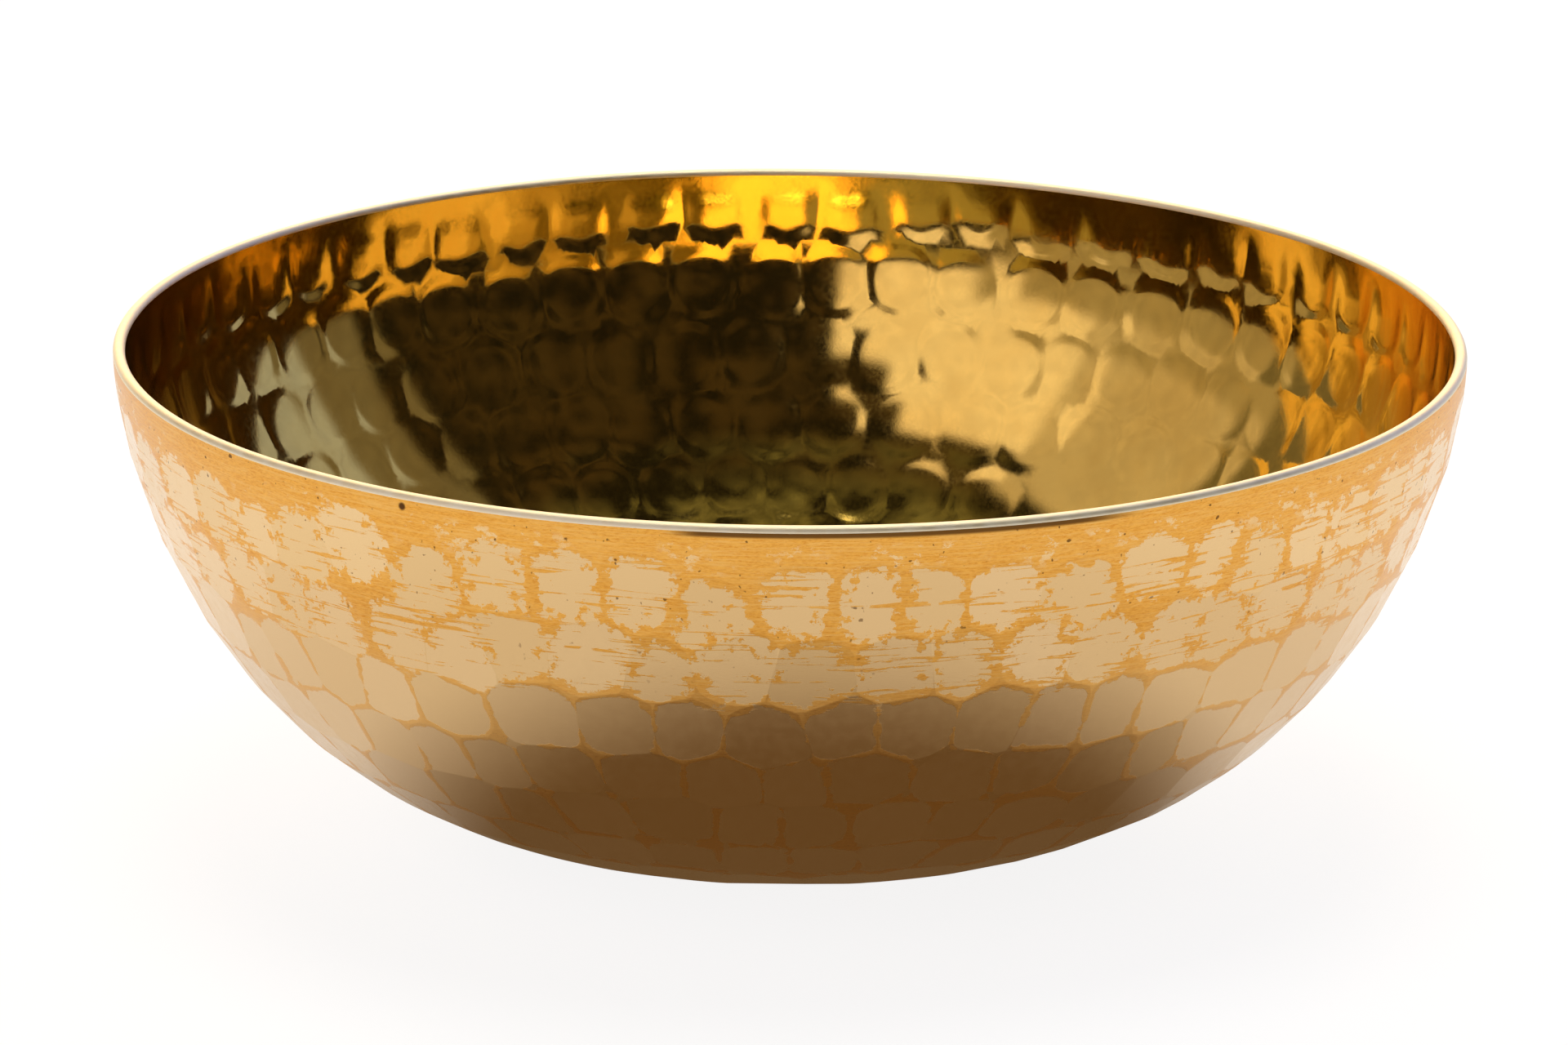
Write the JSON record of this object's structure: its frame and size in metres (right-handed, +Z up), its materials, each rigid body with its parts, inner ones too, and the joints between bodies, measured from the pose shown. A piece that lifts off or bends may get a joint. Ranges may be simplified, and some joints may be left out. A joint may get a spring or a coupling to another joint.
{
  "type": "bowl",
  "caption": "Deep round bowl raised from one hammered brass sheet, with a flat base, an upright rounded rim and a polished inside.",
  "frame": {"origin": "centre of the flat base's underside, where the bowl stands", "axes": "+Z up along the bowl's axis of symmetry, towards the open rim; X and Y are free, as the bowl is round"},
  "size_m": [0.2, 0.2, 0.072],
  "materials": {
    "hammered_brass": "hammered outside with bright planished marks on a satin orange-gold ground, polished inside and on the rim"
  },
  "bodies": {
    "root": {"bowl_shell": "hammered_brass"}
  },
  "joints": []
}
